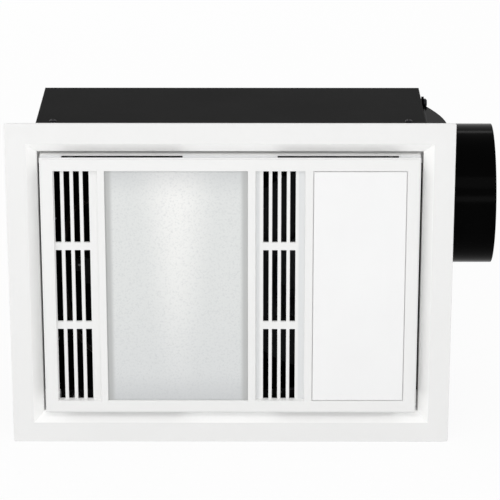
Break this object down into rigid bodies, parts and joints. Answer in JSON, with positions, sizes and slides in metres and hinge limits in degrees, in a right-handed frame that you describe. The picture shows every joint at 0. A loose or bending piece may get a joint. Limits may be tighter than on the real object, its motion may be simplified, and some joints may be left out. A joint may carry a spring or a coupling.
{
  "type": "bathroom heater exhaust fan",
  "caption": "Ceiling unit with a white picture-frame fascia, frosted heater window, louvres and opal light panel, a black steel box behind it and a round side duct.",
  "frame": {"origin": "middle of the four ceiling screws, on the ceiling's face against which the flange lies", "axes": "+Y from the room into the ceiling, +X along the fascia's long side towards the duct, +Z along its short side, up as in the picture"},
  "size_m": [0.5064, 0.2248, 0.352],
  "materials": {
    "housing_shell": "satin black powder coat",
    "outlet_wall": "satin black powder coat",
    "ceiling_flange": "satin black powder coat",
    "back_plate": "satin black powder coat",
    "back_plate_screws": "zinc plated",
    "cable_gland": "black nylon",
    "top_rail": "black coated sheet steel",
    "bottom_rail": "black coated sheet steel",
    "rail_screws": "black zinc",
    "fascia_frame": "satin white moulding",
    "fascia_screws": "zinc plated",
    "grille_panel": "satin white moulding",
    "heater_glass": "frosted toughened glass",
    "glass_gasket": "silicone",
    "light_diffuser": "opal, satin",
    "retaining_clips": "spring steel",
    "clip_screws": "zinc plated",
    "ball_studs": "turned steel",
    "stud_catches": "black nylon",
    "reflector": "bright aluminium",
    "rail_tab_screws": "zinc plated",
    "lamp_tube": "quartz",
    "lamp_filament": "tungsten",
    "lamp_caps": "steatite",
    "lamp_contacts": "brass",
    "lamp_holders": "steatite",
    "thermal_cutout": "plated",
    "light_tray": "white coat",
    "light_board": "white solder mask",
    "light_chips": "phosphor",
    "light_driver": "black plastic case",
    "fixing_screws": "zinc plated",
    "scroll_body": "black moulding",
    "scroll_cover": "black moulding",
    "scroll_screws": "zinc plated",
    "scroll_pillars": "plated steel",
    "impeller": "dark grey moulding",
    "impeller_nut": "brass",
    "motor_shaft": "ground steel",
    "motor_rotor": "laminated steel",
    "motor_stator": "laminated steel",
    "motor_windings": "varnished copper wire",
    "front_shield": "die cast",
    "rear_shield": "die cast",
    "motor_bearings": "bearing steel",
    "tie_screws": "zinc plated",
    "run_capacitor": "black plastic can",
    "capacitor_clip": "spring steel",
    "duct_gasket": "closed-cell foam",
    "duct_adaptor": "gloss black moulding",
    "adaptor_screws": "black zinc",
    "upper_flap": "black moulding",
    "lower_flap": "black moulding",
    "flap_pin": "steel",
    "flap_spring": "stainless wire",
    "terminal_block": "white nylon",
    "wiring_cover": "satin black powder coat",
    "fan_lead": "black sheath",
    "lamp_leads": "dark glass-fibre sleeve",
    "light_lead": "black sheath"
  },
  "bodies": {
    "housing": {"housing_shell": "housing_shell", "outlet_wall": "outlet_wall", "ceiling_flange": "ceiling_flange", "back_plate": "back_plate", "back_plate_screws": "back_plate_screws", "cable_gland": "cable_gland", "top_rail": "top_rail", "bottom_rail": "bottom_rail", "rail_screws": "rail_screws", "fascia_frame": "fascia_frame", "fascia_screws": "fascia_screws", "stud_catches": "stud_catches", "reflector": "reflector", "rail_tab_screws": "rail_tab_screws", "lamp_tube": "lamp_tube", "lamp_filament": "lamp_filament", "lamp_caps": "lamp_caps", "lamp_contacts": "lamp_contacts", "lamp_holders": "lamp_holders", "thermal_cutout": "thermal_cutout", "light_tray": "light_tray", "light_board": "light_board", "light_chips": "light_chips", "light_driver": "light_driver", "fixing_screws": "fixing_screws", "scroll_body": "scroll_body", "scroll_cover": "scroll_cover", "scroll_screws": "scroll_screws", "scroll_pillars": "scroll_pillars", "motor_stator": "motor_stator", "motor_windings": "motor_windings", "front_shield": "front_shield", "rear_shield": "rear_shield", "motor_bearings": "motor_bearings", "tie_screws": "tie_screws", "run_capacitor": "run_capacitor", "capacitor_clip": "capacitor_clip", "duct_gasket": "duct_gasket", "duct_adaptor": "duct_adaptor", "adaptor_screws": "adaptor_screws", "flap_pin": "flap_pin", "flap_spring": "flap_spring", "terminal_block": "terminal_block", "wiring_cover": "wiring_cover", "fan_lead": "fan_lead", "lamp_leads": "lamp_leads", "light_lead": "light_lead"},
    "grille": {"grille_panel": "grille_panel", "heater_glass": "heater_glass", "glass_gasket": "glass_gasket", "light_diffuser": "light_diffuser", "retaining_clips": "retaining_clips", "clip_screws": "clip_screws", "ball_studs": "ball_studs"},
    "rotor": {"impeller": "impeller", "impeller_nut": "impeller_nut", "motor_shaft": "motor_shaft", "motor_rotor": "motor_rotor"},
    "flap_upper": {"upper_flap": "upper_flap"},
    "flap_lower": {"lower_flap": "lower_flap"}
  },
  "joints": [
    {"name": "panel_pull", "type": "slide", "parent": "housing", "child": "grille", "axis": [0, -1, 0], "range_m": [0, 0.06]},
    {"name": "impeller_spin", "type": "hinge", "parent": "housing", "child": "rotor", "pos_m": [0.10495, 0.148, -0.0135], "axis": [0, 1, 0], "continuous": true},
    {"name": "upper_flap_swing", "type": "hinge", "parent": "housing", "child": "flap_upper", "pos_m": [0.21285, 0.094, 0.06698], "axis": [0, 1, 0], "range_deg": [0, 70], "stiffness_Nm_per_rad": 0.003, "springref_deg": -40.11, "deforming": ["flap_spring"]},
    {"name": "lower_flap_swing", "type": "hinge", "parent": "housing", "child": "flap_lower", "pos_m": [0.21285, 0.094, 0.06698], "axis": [0, -1, 0], "range_deg": [0, 70]}
  ],
  "couplings": [
    {"joint": "lower_flap_swing", "follows": "upper_flap_swing", "ratio": 1}
  ]
}
